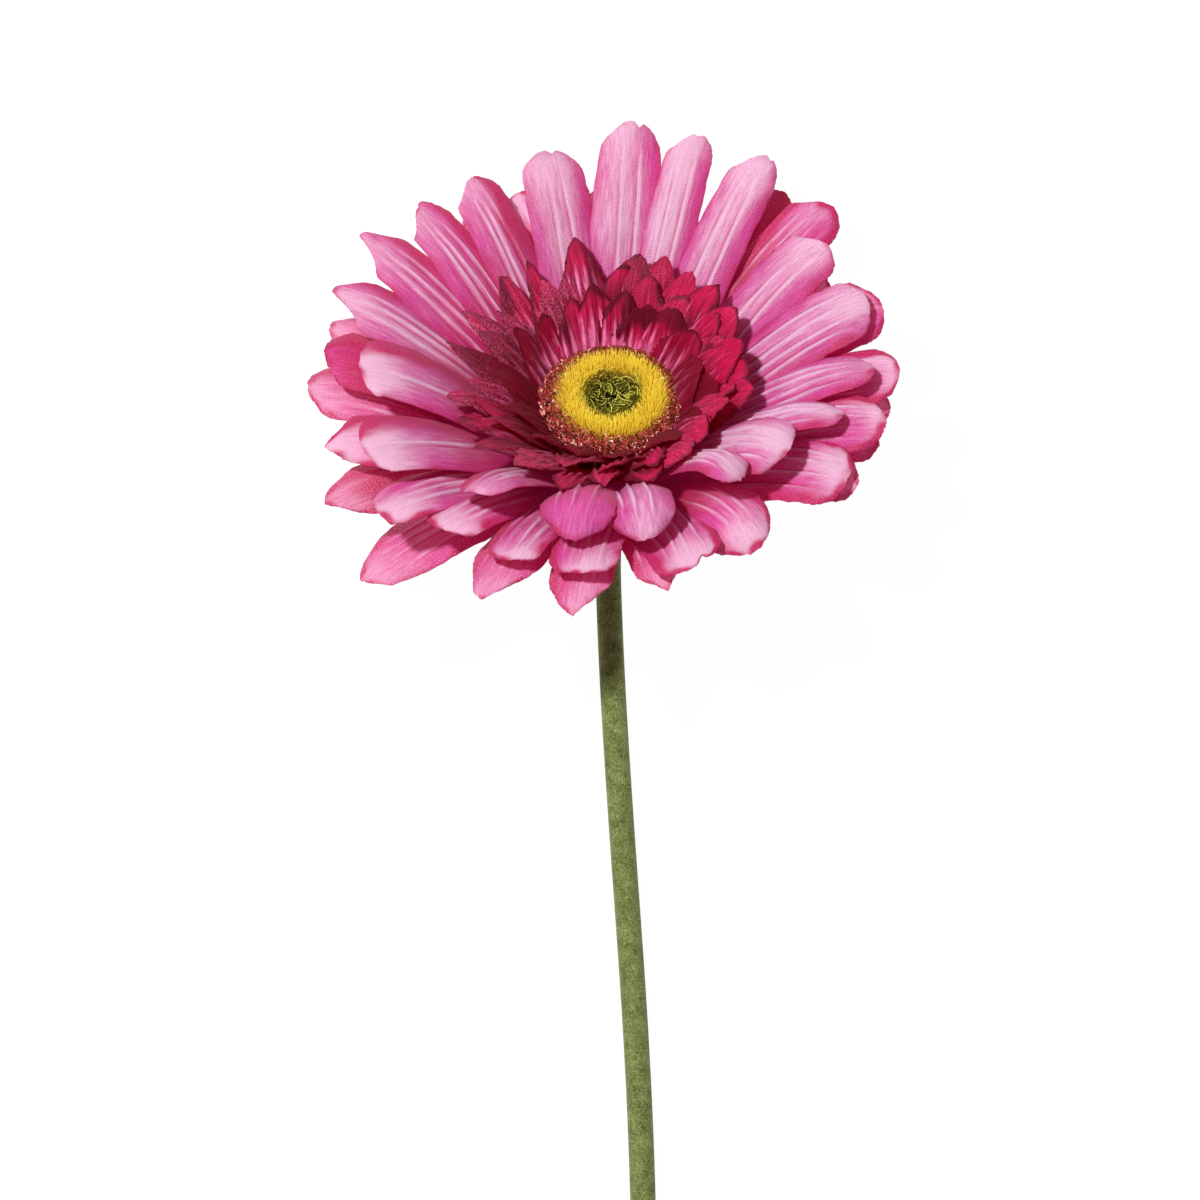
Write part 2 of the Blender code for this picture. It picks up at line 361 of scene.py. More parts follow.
def fibre_material(name, low, high, tip, tip_from, low_z, high_z):
    """Fibres that brighten from low_z to high_z on the head, each shaded by its own "tone"."""
    material, graph = new_material(name)
    _, _, height = graph.parts(head_coordinates(graph))
    tone = graph.attribute("tone", "Fac")
    base = graph.mix(low, high, height.step(low_z, high_z) * tone.step(0.1, 0.5))
    base = graph.mix(base, tip, tone.step(tip_from, tip_from + 0.2))
    base = graph.multiply(base, graph.grey(0.72 + tone * 0.5))
    finish_material(
        graph, graph.principled({"Base Color": base, "Roughness": 0.85, "Specular IOR Level": 0.2}),
    )
    return material


# The heights and radii on the head between which the bristles change colour.
PILE_HEIGHTS = (0.6, 2.4)
PILE_WELL_RADII = (6.2, 5.2)
PILE_FRINGE_RADII = (11.0, 11.9)
PILE_FRINGE_HEIGHTS = (-0.8, 0.4)


def bristle_material():
    """Yellow pile, painted darker low down (painted shade) and glowing faintly (painted light), dull green
    round the nest, whose outer fringe is tipped dark red.
    """
    material, graph = new_material("yellow_bristle")
    x, y, height = graph.parts(head_coordinates(graph))
    radius = x.length_with(y)
    tone = graph.attribute("tone", "Fac")
    # Darker lower in the pile, brighter at its top: painted shade.
    base = graph.mix(colour(230, 200, 46), colour(250, 240, 104), height.step(*PILE_HEIGHTS))
    base = graph.mix(base, colour(96, 92, 22), (radius + (tone - 0.5) * 1.2).step(*PILE_WELL_RADII))
    fringe = (radius + (tone - 0.5) * 1.6).step(*PILE_FRINGE_RADII) * height.step(*PILE_FRINGE_HEIGHTS)
    base = graph.mix(base, colour(128, 24, 28), fringe)
    base = graph.multiply(base, graph.grey(0.84 + tone * 0.3))
    # The pile glows faintly in its own colour: a painted light that brightens it.
    front = graph.principled({
        "Base Color": base, "Roughness": 0.7, "Specular IOR Level": 0.3,
        "Emission Color": base, "Emission Strength": 0.16,
    })
    through = graph.node("ShaderNodeBsdfTranslucent", None, {"Color": colour(250, 232, 84)})
    finish_material(graph, graph.blend_shaders(front, through, 0.45))
    return material


# Waves to a metre in the flock, the moulded plastic and the wire.
FLOCK_GRAIN = 2600.0
FLOCK_CLUMPS = 420.0
FLOCK_DRIFT = 26.0
PLASTIC_MOTTLE = 500.0
WIRE_MARKS = 1800.0


def flock_material(name, deep, mid, light):
    """Short green flock: a fine salt-and-pepper of fibres in three shades, lumpy to the touch."""
    material, graph = new_material(name)
    spot = object_coordinates(graph)
    grain = graph.noise(spot, FLOCK_GRAIN, 3.0, 0.7)
    clumps = graph.noise(spot, FLOCK_CLUMPS, 2.0, 0.5)
    drift = graph.noise(spot, FLOCK_DRIFT, 2.0, 0.5)
    base = graph.mix(deep, mid, (grain * 0.7 + clumps * 0.3).step(0.32, 0.56))
    base = graph.mix(base, light, (grain + (clumps - 0.5) * 0.3).step(0.54, 0.76))
    base = graph.multiply(base, graph.grey(0.85 + drift * 0.3))
    shader = graph.principled({
        "Base Color": base, "Roughness": 0.92, "Specular IOR Level": 0.2,
        "Normal": bump(graph, grain + clumps * 0.6, 0.09 * MM),
        "Sheen Weight": 0.35, "Sheen Roughness": 0.45, "Sheen Tint": (0.80, 0.92, 0.62, 1.0),
    })
    finish_material(graph, shader)
    return material


def plastic_material(name, base, roughness):
    """Moulded plastic with a faint mottle."""
    material, graph = new_material(name)
    mottle = graph.noise(object_coordinates(graph), PLASTIC_MOTTLE, 3.0, 0.6)
    shader = graph.principled({
        "Base Color": graph.multiply(base, graph.grey(0.85 + mottle * 0.3)),
        "Roughness": roughness, "Normal": bump(graph, mottle, 0.04 * MM),
    })
    finish_material(graph, shader)
    return material


def steel_material():
    """Drawn wire, cut and a little marked."""
    material, graph = new_material("wire_steel")
    marks = graph.noise(object_coordinates(graph), WIRE_MARKS, 2.0, 0.6)
    shader = graph.principled({
        "Base Color": graph.multiply(colour(168, 168, 170), graph.grey(0.8 + marks * 0.3)),
        "Roughness": 0.28 + marks * 0.3, "Metallic": 1.0,
    })
    finish_material(graph, shader)
    return material


# ---------------------------------------------------------------------------------------------
# Cloth blades: the rays, the frills' strips and the sepals
# ---------------------------------------------------------------------------------------------

PLAIN_BLADE = {
    "root_radius": 6.5,      # where the blade starts, from the head's axis
    "root_z": -12.0,
    "reach": 50.0,           # where its tip is
    "rise": 15.0,
    "width": 12.0,
    "base": 0.42,            # half-width at the root, as a share of the widest
    "fill": 0.46,            # how soon along its length it is full width
    "longer": 0.0,           # how far the cloth reaches past its block
    "lift": 0.0,             # how far its tip stands above its block
    "wide": 1.1,             # its width over its block's
    "swing": 0.0,            # degrees it has turned from its block
    "rim": 0.0,              # a broad deep margin on the +Y side, or the -Y side if below 0
    "taper": 0.05,           # how much narrower it is at the shoulder
    "arch": 1.0,             # the middle stands this far above a plain climb
    "curl": 0.5,             # the last stretch drops this far
    "sweep": 0.0,            # the tip is carried this far to the +Y side of the blade
    "louvre": 12.0,          # degrees the +Y edge stands up, all along
    "twist": 0.0,            # degrees more at the tip
    "cup": 1.2,              # the edges drop this far below the midrib
    "shoulder": 0.88,        # where the rounded tip starts
    "skew": 1.5,             # the +Y side of the tip is cut back this far
    "notch": 0.0,            # depth of the nick in the tip
    "notch_at": -0.1,
    "point": 0.0,            # how much the tip is drawn out to a point
    "creases": (-0.62, -0.24, 0.14, 0.52),
    "crease_depth": 0.6,
    "teeth": 0,              # sawteeth along each side
    "tooth": 0.0,            # depth of a tooth as a share of the half-width
    "ripple": 0.35,          # height of the cloth's slow waves
    # how pale it is: pale dye, and painted sheen with painted highlights on the ridges
    "pale_and_painted_sheen": 0.5,
    "pale_and_painted_sheen_span": (0.3, 0.65),
    "edge": 0.7,
    "margin": 0.55,          # how much deeper colour there is on the -Y side
    # how deep its root is: root dye, and painted shade where the layers above lie over it
    "root_dye_and_shade": 0.7,
    "root_dye_and_shade_end": 0.6,
    "dark_tip": 0.0,
    # how much paler its tip is painted: a painted highlight
    "tip_highlight": 0.4,
    "chalk": 0.1,
    "rows": 46,
    "thickness": 0.28,
}


def climb(share):
    """How a blade's height grows from root to tip: gently at both ends."""
    return 0.2 * share + 0.8 * share**2 * (3.0 - 2.0 * share)


def smooth_step(low, high, value):
    share = np.clip((value - low) / (high - low), 0.0, 1.0)
    return share * share * (3.0 - 2.0 * share)


def noise_rows(points):
    """Perlin noise, -1 to 1, for rows of three numbers."""
    return np.array([noise.noise(Vector(point)) for point in points])


def noise_grid(first, second, seed):
    """The same noise over two arrays of one shape."""
    flat = np.stack([first.ravel(), second.ravel(), np.full(first.size, seed)], axis=1)
    return noise_rows(flat).reshape(first.shape)


# Columns across a blade: even ones, those by its hems, and those over a crease, in mm from its top.
EVEN_COLUMNS = np.round(np.linspace(-0.88, 0.88, 11), 3)
HEM_COLUMNS = (-1.0, -0.96, 0.96, 1.0)
CREASE_COLUMNS = (-0.7, -0.35, 0.0, 0.3, 0.6, 0.95, 1.4)
COLUMN_GAP = 0.024
# Share of the rows that lie below the shoulder.
BODY_ROWS = 0.74


def blade_columns(blade):
    """Places across the blade, -1 to 1, closer together over each crease."""
    half = blade["width"] / 2.0
    marks = set(EVEN_COLUMNS) | set(HEM_COLUMNS)
    for crease in blade["creases"]:
        marks |= {round(crease + offset / half, 3) for offset in CREASE_COLUMNS}
    columns = []
    for mark in sorted(marks):
        if -1.0 <= mark <= 1.0 and (not columns or mark - columns[-1] > COLUMN_GAP):
            columns.append(mark)
    columns[-1] = 1.0
    return np.array(columns)


def blade_rows(blade):
    """Places along the blade, 0 to 1, closer together at the tip."""
    body = int(blade["rows"] * BODY_ROWS)
    tip = blade["rows"] - body
    before = np.linspace(0.0, blade["shoulder"], body, endpoint=False)
    turned = np.sin(np.linspace(0.0, math.pi / 2.0, tip + 1))
    return np.concatenate([before, blade["shoulder"] + (1.0 - blade["shoulder"]) * turned])


# Where along a blade its taper and its curl start.
TAPER_START = 0.62
CURL_START = 0.62
# The highest value of x * x * (1 - x), which an arch follows.
ARCH_PEAK = 4.0 / 27.0
# Half-widths of a nick, as a share of the blade's, and of a pressed ridge and its groove, in mm.
NICK_WIDTH = 0.16
RIDGE_WIDTH = 0.26
GROOVE_WIDTH = 0.34
GROOVE_PLACE = 0.6
GROOVE_DEPTH = 0.8
# How far a loose thread stands out, in mm.
FINE_FRAY = 0.28
COARSE_FRAY = 0.3


def half_width(blade, share):
    """Half the blade's width along it, before its tip is rounded."""
    swell = np.sin(np.clip(share / blade["fill"], 0.0, 1.0) * math.pi / 2.0)
    half = blade["width"] * blade["wide"] / 2.0 * (blade["base"] + (1.0 - blade["base"]) * swell)
    return half * (1.0 - blade["taper"] * smooth_step(TAPER_START, 1.0, share))


def blade_outline(blade, length, half, share, side, seed):
    """The flat cut: each point's place along it, as a share of its length, and across it in mm."""
    shoulder = blade["shoulder"]
    # Above the shoulder the cut's two square corners are pressed round.
    tip = np.clip((share - shoulder) / (1.0 - shoulder), 0.0, 1.0)
    rounded = shoulder + (1.0 - shoulder) * tip * np.sqrt(1.0 - side**2 / 2.0)
    along = np.where(tip > 0.0, rounded, share)
    across = side * half * np.sqrt(1.0 - tip**2 / 2.0)
    along -= blade["skew"] / length * (0.5 + 0.5 * side) ** 2 * tip**1.5
    nick = np.exp(-(((side - blade["notch_at"]) / NICK_WIDTH) ** 2))
    along -= blade["notch"] / length * nick * tip**3
    across *= 1.0 - blade["point"] * 0.55 * tip**1.3
    along += blade["point"] * 0.09 * tip**2 * (1.0 - np.abs(side)) ** 1.2
    if blade["teeth"]:
        teeth = blade["teeth"] * (1.0 + 0.05 * np.sin(seed))
        saw = 1.0 - (share * teeth + 0.3 * np.sign(side)) % 1.0
        across *= 1.0 - blade["tooth"] * saw * np.abs(side) ** 3 * smooth_step(0.2, 0.4, share)
        jags = np.abs(np.sin(side * 5.0 + seed)) ** 1.5 * np.abs(side) ** 0.5
        along -= blade["tooth"] * 4.0 / length * jags * tip**4
    fray = FINE_FRAY * noise_grid(share * 60.0, side * 9.0, seed)
    fray += COARSE_FRAY * noise_grid(share * 12.0, side * 3.0, seed)
    across += fray * np.sign(side) * np.abs(side) ** 6
    along += fray / length * tip**6
    return along, across


def blade_spine(blade, reach):
    """The line that the cloth follows, from just before its root to past its tip: the shares along
    it, its points, and the directions across the cloth and out of it."""
    line = np.linspace(-0.05, 1.15, 121)
    arch = blade["arch"] / ARCH_PEAK * line**2 * (1.0 - line) * (line > 0)
    curl = blade["curl"] * np.clip((line - CURL_START) / (1.0 - CURL_START), 0.0, 2.0) ** 2
    rise = blade["rise"] + blade["lift"] - blade["root_z"]
    outward_way = blade["root_radius"] + (reach - blade["root_radius"]) * line
    height = blade["root_z"] + rise * climb(line) + arch - curl
    centre = np.stack([outward_way, blade["sweep"] * line**2, height], axis=1)
    tangent = np.gradient(centre, line, axis=0)
    tangent /= np.linalg.norm(tangent, axis=1, keepdims=True)
    level = np.cross((0.0, 0.0, 1.0), tangent)
    level /= np.linalg.norm(level, axis=1, keepdims=True)
    outward = np.cross(tangent, level)
    turn = blade["louvre"] * np.clip(line, 0.0, 1.0) ** 0.3 + blade["twist"] * line**2
    cosine, sine = np.cos(np.radians(turn))[:, None], np.sin(np.radians(turn))[:, None]
    return line, centre, level * cosine + outward * sine, outward * cosine - level * sine


def pressed_ridges(blade, half, share, across, seed):
    """The veins pressed into the cloth: 1 on top of a ridge, below 0 in the groove beside it."""
    ridges = np.zeros_like(across)
    for number, crease in enumerate(blade["creases"]):
        wander = 0.05 * np.sin(share * 5.0 + seed + number * 1.7) - 0.08 * crease * share
        gap = across - (crease + wander) * half
        ridges += np.exp(-((gap / RIDGE_WIDTH) ** 2))
        ridges -= GROOVE_DEPTH * np.exp(-(((gap - GROOVE_PLACE) / GROOVE_WIDTH) ** 2))
    return ridges * smooth_step(0.1, 0.3, share) * (1.0 - smooth_step(0.7, 0.97, share))


def blade_points(blade, share, side, seed):
    """Where each point of the blade is, in its own frame: X outward, Y across, Z out of the face.
    share runs from root to tip and side from -1 to 1. Also gives the points' places across and along
    the flat cloth, in mm, and the pressed ridges."""
    reach = blade["reach"] + blade["longer"]
    length = math.hypot(reach - blade["root_radius"], blade["rise"] - blade["root_z"])
    half = half_width(blade, share)
    along, across = blade_outline(blade, length, half, share, side, seed)
    line, centre, level, outward = blade_spine(blade, reach)

    def follow(values):
        return np.stack([np.interp(along, line, values[:, axis]) for axis in range(3)], axis=-1)

    ridges = pressed_ridges(blade, half, share, across, seed)
    height = -blade["cup"] * np.abs(side) ** 2.2 * smooth_step(0.0, 0.4, share)
    height += blade["crease_depth"] * ridges
    height += blade["ripple"] * noise_grid(share * 3.5, side * 1.2, seed + 5.0)
    place = follow(centre) + follow(level) * across[..., None] + follow(outward) * height[..., None]
    return place, across, along * length, ridges


# Widths of the deep line along a hem and of the broad margin, and a ray's usual length, in mm.
HEM_WIDTH = 1.2
MARGIN_WIDTH = 2.0
USUAL_LENGTH = 46.0


def blade_dye_and_light(blade, share, side, ridges, seed):
    """Shares of deep edge colour with painted groove shade, of pale dye with painted sheen and highlights,
    of root dye with painted shade, and of chalk at each point.
    """
    half = blade["width"] * blade["wide"] / 2.0
    hem = np.minimum((1.0 - np.abs(side)) * half, (1.0 - share) * USUAL_LENGTH)
    cloudy = noise_grid(share * 4.0, side * 1.5, seed + 9.0)
    broken = noise_grid(share * 12.0, side * 2.0, seed + 3.0)
    raised = np.clip(ridges, 0.0, 1.0)

    edge = (0.7 + 0.8 * broken) * np.exp(-((hem / (HEM_WIDTH + broken)) ** 2))
    edge += blade["margin"] * smooth_step(0.1, 1.0, -side + 0.5 * cloudy)
    edge *= blade["edge"]
    # The grooves beside the ridges are painted darker: painted shade.
    edge += 0.55 * np.clip(-ridges, 0.0, 1.0)
    edge += blade["dark_tip"] * smooth_step(0.7, 1.0, share + 0.25 * cloudy)
    margin = (1.0 - side * blade["rim"]) * half
    edge += abs(blade["rim"]) * np.exp(-((margin / (MARGIN_WIDTH + cloudy)) ** 2))

    low, high = blade["pale_and_painted_sheen_span"]
    # Paler in the middle, partly pale dye and partly painted sheen, and on the ridge tops, which are
    # painted highlights.
    pale_and_painted_sheen = 0.55 * np.exp(-(((side - 0.15 + 0.3 * cloudy) / 0.7) ** 2)) + 0.75 * raised
    pale_and_painted_sheen *= blade["pale_and_painted_sheen"] * smooth_step(low, high, share)
    pale_and_painted_sheen += 0.5 * raised**2 * (1.0 - blade["root_dye_and_shade"] * smooth_step(0.5, 0.0, share))
    # The tip is painted paler: a painted highlight.
    pale_and_painted_sheen += blade["tip_highlight"] * smooth_step(0.72, 1.06, share + 0.12 * cloudy + 0.05 * side)

    # The root is deep: root dye, and painted shade where the layers above lie over it.
    end = blade["root_dye_and_shade_end"]
    root_dye_and_shade = blade["root_dye_and_shade"] * (1.0 - smooth_step(end - 0.35, end, share + 0.06 * cloudy))
    chalk = blade["chalk"] * smooth_step(0.2, 0.7, share)
    return np.stack([edge, pale_and_painted_sheen, root_dye_and_shade, chalk], axis=-1).clip(0.0, 1.0)


def new_builder():
    """The parts of a mesh in hand."""
    return {"count": 0, "points": [], "dye_and_painted_light": [], "cloth": [], "faces": []}


# How far apart on the bolt two blades were cut, in mm, so that no two have the same threads.
BOLT_STEP = 13.0


def add_blade(builder, blade, azimuth, seed):
    """Adds one blade to a builder."""
    side, share = np.meshgrid(blade_columns(blade), blade_rows(blade))
    place, across, along, ridges = blade_points(blade, share, side, seed)
    dye_and_painted_light = blade_dye_and_light(blade, share, side, ridges, seed)
    turn = math.radians(azimuth)
    x = place[..., 0] * math.cos(turn) - place[..., 1] * math.sin(turn)
    y = place[..., 0] * math.sin(turn) + place[..., 1] * math.cos(turn)
    spots = np.stack([x, y, place[..., 2]], axis=-1)
    rows, columns = share.shape
    start = builder["count"]
    builder["count"] += rows * columns
    builder["points"].append(spots.reshape(-1, 3))
    builder["dye_and_painted_light"].append(dye_and_painted_light.reshape(-1, 4))
    builder["cloth"].append(np.stack([across + seed * BOLT_STEP, along], axis=-1).reshape(-1, 2))
    corner = start + np.arange((rows - 1) * columns).reshape(rows - 1, columns)[:, :-1].ravel()
    builder["faces"].append(np.stack([corner, corner + columns, corner + columns + 1, corner + 1], axis=1))


# The lowest cloth is held this far above the floor, and bends up to it over this height, in mm.
FLOOR_GAP = 0.3
FLOOR_BEND = 0.4


def blades_object(name, builder, material, thickness):
    """Turns the builder's blades into one cloth piece in its place."""
    points = from_head(np.concatenate(builder["points"]))
    above = (points[:, 2] - FLOOR_GAP * MM) / (FLOOR_BEND * MM)
    points[:, 2] = (FLOOR_GAP + np.logaddexp(0.0, above) * FLOOR_BEND) * MM
    faces = np.concatenate(builder["faces"])
    mesh = bpy.data.meshes.new(name)
    mesh.from_pydata(points.tolist(), [], faces.tolist())
    layer = mesh.color_attributes.new("dye_and_painted_light", "FLOAT_COLOR", "POINT")
    layer.data.foreach_set("color", np.concatenate(builder["dye_and_painted_light"]).ravel())
    corners = np.empty(len(mesh.loops), dtype=np.int32)
    mesh.loops.foreach_get("vertex_index", corners)
    chart = mesh.uv_layers.new(name="cloth_mm")
    chart.data.foreach_set("uv", np.concatenate(builder["cloth"])[corners].ravel())
    mesh.shade_smooth()
    mesh.materials.append(material)
    piece = place_object(name, mesh)
    solidify = piece.modifiers.new("cloth thickness", "SOLIDIFY")
    solidify.thickness = thickness * MM
    solidify.offset = 0.0
    return piece


# ---------------------------------------------------------------------------------------------
# Rays
# ---------------------------------------------------------------------------------------------

def measure_petal(name):
    """Azimuth and the driving sizes of a CAD petal, in the head's frame."""
    points = to_head(node_points(name))
    middle = points[:, :2].mean(axis=0)
    azimuth = math.atan2(middle[1], middle[0])
    outward = points[:, 0] * math.cos(azimuth) + points[:, 1] * math.sin(azimuth)
    sideways = points[:, 1] * math.cos(azimuth) - points[:, 0] * math.sin(azimuth)
    root = outward < outward.min() + 0.5
    tip = outward > outward.max() - 0.5
    return math.degrees(azimuth), {
        "root_radius": float(outward[root].mean()),
        "root_z": float(points[root, 2].mean()),
        "reach": float(outward.max()),
        "rise": float(points[tip, 2].mean()),
        "width": float(np.ptp(sideways)),
    }


# The covered layers have deeper roots that reach further out: root dye, and painted shade under the layer
# above.
LAYER_STYLES = {
    "upper_petal": {"pale_and_painted_sheen": 0.6, "edge": 0.55, "root_dye_and_shade": 0.5, "root_dye_and_shade_end": 0.55},
    "middle_petal": {
        "pale_and_painted_sheen": 0.45, "edge": 0.8, "margin": 0.5, "root_dye_and_shade": 0.9, "root_dye_and_shade_end": 0.8, "cup": 1.6,
        "tip_highlight": 0.7,
    },
    "lower_petal": {
        "pale_and_painted_sheen": 0.45, "edge": 0.8, "margin": 0.5, "root_dye_and_shade": 1.0, "root_dye_and_shade_end": 0.88, "cup": 1.4,
        "crease_depth": 0.2, "chalk": 0.35, "tip_highlight": 0.35,
    },
}
# The rays at the top and right face the lamp and take more painted sheen and less painted shade; those on
# the left take less sheen and more shade.
TOP = {
    "creases": (-0.3, 0.25), "crease_depth": 0.22, "pale_and_painted_sheen": 1.1, "edge": 0.35, "root_dye_and_shade": 0.35,
    "root_dye_and_shade_end": 0.45, "arch": 0.0, "curl": 0.0, "longer": 2.2, "wide": 1.03,
}
RIGHT = {"pale_and_painted_sheen": 0.85, "edge": 0.5, "root_dye_and_shade": 0.35, "root_dye_and_shade_end": 0.5}
LEFT = {
    "creases": (-0.34, 0.04, 0.36), "crease_depth": 0.5, "margin": 1.3, "pale_and_painted_sheen": 0.5, "edge": 0.55,
    "root_dye_and_shade": 0.6, "root_dye_and_shade_end": 0.75, "arch": 0.5, "twist": -12.0, "tip_highlight": 0.3,
}
DOME = {
    "tip_highlight": 0.3, "arch": 4.0, "curl": 3.4, "cup": 2.8, "skew": 0.0, "shoulder": 0.84,
    "creases": (-0.5, -0.05, 0.4),
}

# What each ray has of its own: its cut, its bend and how much pale dye and painted sheen it has.
RAY_STYLES = {
    "upper_petal_01": TOP | {
        "notch": 1.8, "notch_at": -0.3, "skew": 2.0, "shoulder": 0.86, "longer": 3.0, "taper": 0.2,
        "swing": -0.4, "wide": 1.1,
    },
    "upper_petal_02": TOP | {
        "notch": 0.8, "skew": 3.5, "shoulder": 0.87, "wide": 0.94, "longer": 2.4, "pale_and_painted_sheen": 1.6,
        "swing": 0.3,
    },
    "upper_petal_03": TOP | {
        "notch": 0.8, "notch_at": -0.3, "skew": 3.2, "shoulder": 0.85, "wide": 1.0, "longer": 1.8,
        "swing": -0.4, "taper": 0.12,
    },
    "upper_petal_04": TOP | RIGHT | {"skew": 3.5, "longer": -1.5, "wide": 1.1},
    "upper_petal_05": RIGHT | {"skew": 0.0, "longer": 0.2, "wide": 1.15, "twist": 8.0},
    "upper_petal_06": RIGHT | {"twist": -34.0, "root_dye_and_shade": 0.7, "pale_and_painted_sheen": 0.6, "tip_highlight": 0.2},
    "upper_petal_07": RIGHT | {"twist": -42.0, "root_dye_and_shade": 0.6, "longer": -1.0},
    "upper_petal_08": RIGHT | {
        "skew": 0.0, "cup": 2.2, "longer": -3.0, "root_dye_and_shade": 0.0, "wide": 1.16, "arch": 2.5, "swing": -2.6,
        "pale_and_painted_sheen": 1.2,
    },
    "upper_petal_09": RIGHT | {
        "twist": -40.0, "skew": 0.0, "longer": -1.5, "lift": 2.8, "root_dye_and_shade": 0.0, "arch": 3.5,
        "swing": -1.0,
    },
    "upper_petal_10": DOME | {"longer": -3.0, "root_dye_and_shade": 0.1, "wide": 1.12},
    "upper_petal_11": DOME | {
        "longer": -3.0, "swing": -2.0, "root_dye_and_shade": 0.5, "root_dye_and_shade_end": 0.9, "wide": 1.2, "pale_and_painted_sheen": 0.15,
        "tip_highlight": 0.1,
    },
    "upper_petal_12": LEFT | {"twist": 22.0, "skew": 0.0, "longer": -2.0, "lift": -2.2, "root_dye_and_shade": 0.2},
    "upper_petal_13": LEFT | {
        "twist": -24.0, "skew": 0.5, "tip_highlight": 0.9, "longer": -1.0, "wide": 1.16, "creases": (0.1,),
        "pale_and_painted_sheen": 0.6,
    },
    "upper_petal_14": LEFT | {
        "twist": -26.0, "skew": 0.5, "tip_highlight": 0.9, "wide": 1.1, "creases": (0.2,), "pale_and_painted_sheen": 0.6,
    },
    "upper_petal_15": LEFT | {
        "twist": -18.0, "skew": 5.0, "point": 0.4, "wide": 1.16, "longer": -0.1, "swing": 2.2,
        "sweep": -0.9, "lift": -0.4, "shoulder": 0.85, "pale_and_painted_sheen": 0.8, "taper": 0.15,
    },
    "upper_petal_16": LEFT | {
        "twist": -12.0, "skew": 5.0, "point": 0.4, "wide": 1.12, "longer": 0.0, "swing": 1.6,
        "sweep": -1.2, "shoulder": 0.85, "taper": 0.18,
    },
    "upper_petal_17": LEFT | {
        "notch": 0.6, "skew": 5.0, "wide": 1.12, "swing": 0.6, "sweep": -0.3, "longer": 1.0,
        "shoulder": 0.87, "taper": 0.18,
    },
    "upper_petal_18": LEFT | {
        "skew": 3.5, "wide": 1.12, "longer": 1.2, "swing": -0.4, "sweep": 0.8, "taper": 0.15,
    },
    "upper_petal_19": TOP | {
        "notch": 1.0, "skew": 0.5, "pale_and_painted_sheen": 1.0, "wide": 1.14, "longer": 2.1, "swing": 0.3,
    },
    "middle_petal_01": {"longer": 3.0, "root_dye_and_shade_end": 1.0},
    # It lies under the ray above and is painted deep all over, without sheen: painted shade.
    "middle_petal_03": {
        "edge": 1.0, "root_dye_and_shade": 1.0, "root_dye_and_shade_end": 1.3, "pale_and_painted_sheen": 0.0, "tip_highlight": 0.0, "longer": 2.0,
        "chalk": 0.0,
    },
    "middle_petal_04": {"longer": 0.1, "skew": 3.0, "root_dye_and_shade_end": 0.9, "tip_highlight": 0.2, "swing": 0.4},
    "middle_petal_06": {
        "longer": -0.3, "root_dye_and_shade": 1.0, "root_dye_and_shade_end": 1.0, "tip_highlight": 0.2, "lift": 2.4, "swing": 0.6,
        "wide": 1.2,
    },
    "middle_petal_07": {"longer": -0.6, "skew": 0.0, "lift": 1.0, "swing": -0.5},
    "middle_petal_08": {"lift": 1.5, "longer": 0.0, "shoulder": 0.84, "swing": -0.8},
    "middle_petal_09": {
        "shoulder": 0.86, "longer": -0.6, "wide": 1.2, "lift": -1.3, "swing": -2.0, "sweep": 2.4,
    },
    "middle_petal_10": {
        "wide": 1.12, "swing": 4.6, "shoulder": 0.76, "cup": 3.0, "arch": 3.0, "curl": 2.5,
        "longer": 0.0, "crease_depth": 0.1, "edge": 1.0, "root_dye_and_shade_end": 0.8, "skew": 0.0,
    },
    "middle_petal_11": {
        "wide": 1.16, "notch": 1.5, "notch_at": 0.45, "root_dye_and_shade_end": 0.7, "swing": 4.4, "longer": 1.8,
    },
    "middle_petal_12": {"swing": 4.5, "wide": 1.16, "root_dye_and_shade_end": 0.7, "longer": 0.0, "skew": 0.0},
    "middle_petal_13": {"swing": 2.0, "wide": 1.25, "root_dye_and_shade_end": 0.7},
    "middle_petal_14": {"wide": 1.1, "root_dye_and_shade_end": 0.7},
    "middle_petal_15": {"wide": 1.2, "lift": -2.0, "root_dye_and_shade_end": 0.7, "swing": 2.4, "skew": -2.0},
    "middle_petal_16": {"twist": -20.0, "wide": 1.14, "longer": -2.2, "point": 0.5, "skew": -1.5},
    "middle_petal_17": {
        "twist": -20.0, "wide": 1.16, "tip_highlight": 0.0, "root_dye_and_shade_end": 1.1, "longer": -0.1, "swing": 0.5,
        "pale_and_painted_sheen": 0.1, "edge": 1.1, "margin": 1.4,
    },
    "lower_petal_05": {"wide": 1.0, "swing": 1.8},
    "lower_petal_06": {"lift": 0.8, "longer": -0.3, "wide": 0.95, "swing": -0.3},
    "lower_petal_07": {"swing": 1.8, "point": 0.6, "longer": -2.3, "wide": 0.9},
    "lower_petal_08": {"swing": 0.8, "point": 0.4, "shoulder": 0.8, "longer": -1.4},
    "lower_petal_09": {
        "point": 0.35, "shoulder": 0.76, "wide": 1.17, "swing": -2.8, "sweep": 1.8, "longer": -1.2,
    },
    "lower_petal_10": {
        "point": 0.3, "shoulder": 0.76, "wide": 1.12, "swing": -5.2, "sweep": 3.8, "skew": -2.0,
        "root_dye_and_shade_end": 0.8, "longer": -2.2, "taper": -0.1,
    },
    "lower_petal_11": {
        "twist": -20.0, "wide": 1.2, "sweep": 2.0, "point": 0.3, "shoulder": 0.8, "longer": -1.0,
        "lift": 2.4, "swing": -1.6, "root_dye_and_shade_end": 1.1, "tip_highlight": 0.3,
    },
    "lower_petal_12": {"twist": -10.0, "wide": 1.16, "longer": 0.2, "root_dye_and_shade_end": 0.6},
    "lower_petal_13": {"wide": 1.16, "longer": -0.1, "lift": 2.0, "root_dye_and_shade_end": 0.6},
}


